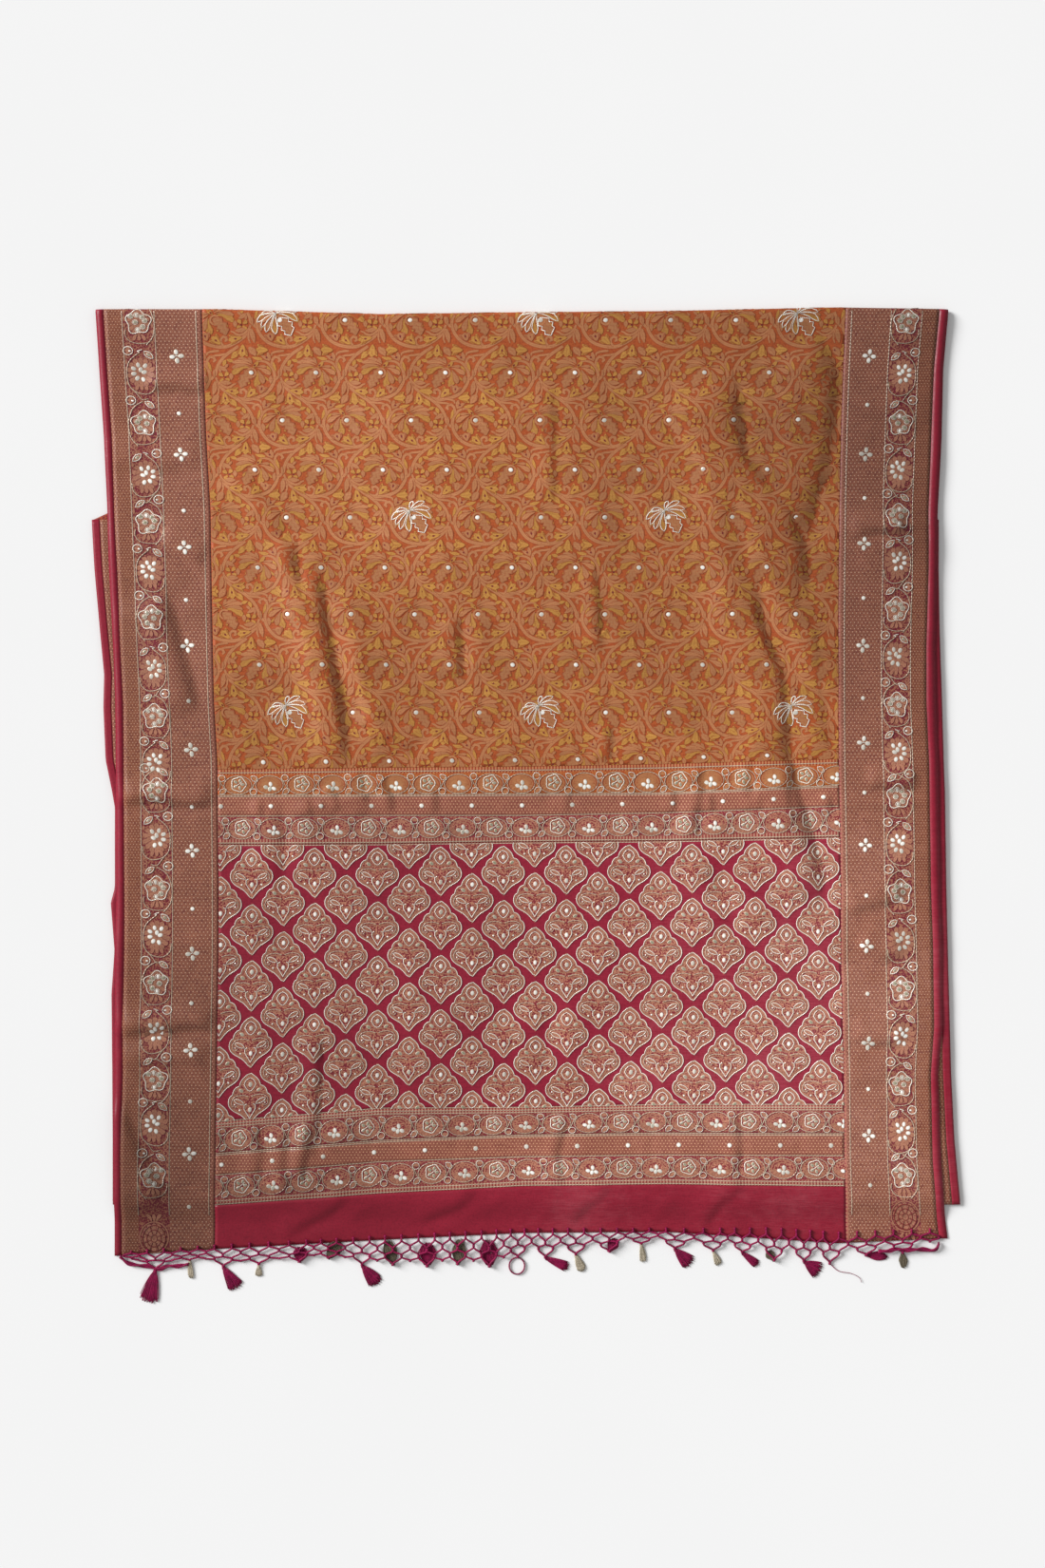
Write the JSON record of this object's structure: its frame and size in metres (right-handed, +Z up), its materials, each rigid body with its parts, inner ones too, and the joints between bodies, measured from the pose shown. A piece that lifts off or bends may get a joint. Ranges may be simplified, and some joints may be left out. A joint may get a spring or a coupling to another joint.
{
  "type": "saree",
  "caption": "Silk saree laid flat and folded, with woven borders, a patterned end piece and a knotted net fringe with tassels.",
  "frame": {"origin": "under the middle of the laid cloth, on the surface that it lies on", "axes": "+Y along the saree's length, from the fringed hem to the fold; +X across it, to the right border; +Z up"},
  "size_m": [1.169, 1.3396, 0.0122],
  "materials": {
    "field_silk": "burnt orange silk with a woven scroll pattern",
    "ochre_band": "ochre brocade",
    "border_brocade": "rose-brown brocade, fine dots",
    "dotted_brocade": "rose-brown brocade, fine dots",
    "floral_brocade": "maroon brocade with a floral scroll",
    "pallu_silk": "maroon silk with woven ogee medallions",
    "satin": "maroon satin",
    "hidden_silk": "maroon silk layers",
    "fringe_silk": "magenta-maroon silk cord",
    "fringe_grey": "grey-brown silk thread"
  },
  "bodies": {
    "root": {"field": "field_silk", "floral_band_ochre": "ochre_band", "dotted_band_upper": "dotted_brocade", "floral_band_upper": "floral_brocade", "pallu": "pallu_silk", "floral_band_lower": "floral_brocade", "dotted_band_lower": "dotted_brocade", "floral_band_end": "floral_brocade", "end_band": "satin", "left_border": "border_brocade", "left_satin_edge": "satin", "right_border": "border_brocade", "right_satin_edge": "satin", "under_left_satin": "satin", "under_left_border": "border_brocade", "under_right_satin": "satin", "under_right_border": "border_brocade", "hidden_layers": "hidden_silk", "fringe_net": "fringe_silk", "cord_ring": "fringe_silk", "loose_thread": "fringe_silk", "tassel_01": "fringe_silk", "tassel_02": "fringe_grey", "tassel_03": "fringe_silk", "tassel_04": "fringe_grey", "tassel_05": "fringe_silk", "tassel_06": "fringe_grey", "tassel_07": "fringe_silk", "tassel_08": "fringe_grey", "tassel_09": "fringe_silk", "tassel_10": "fringe_grey", "tassel_11": "fringe_silk", "tassel_12": "fringe_silk", "tassel_13": "fringe_grey", "tassel_14": "fringe_silk", "tassel_15": "fringe_grey", "tassel_16": "fringe_silk", "tassel_17": "fringe_grey", "tassel_18": "fringe_silk", "tassel_19": "fringe_grey", "tassel_20": "fringe_silk", "tassel_21": "fringe_silk", "tassel_22": "fringe_grey"}
  },
  "joints": []
}
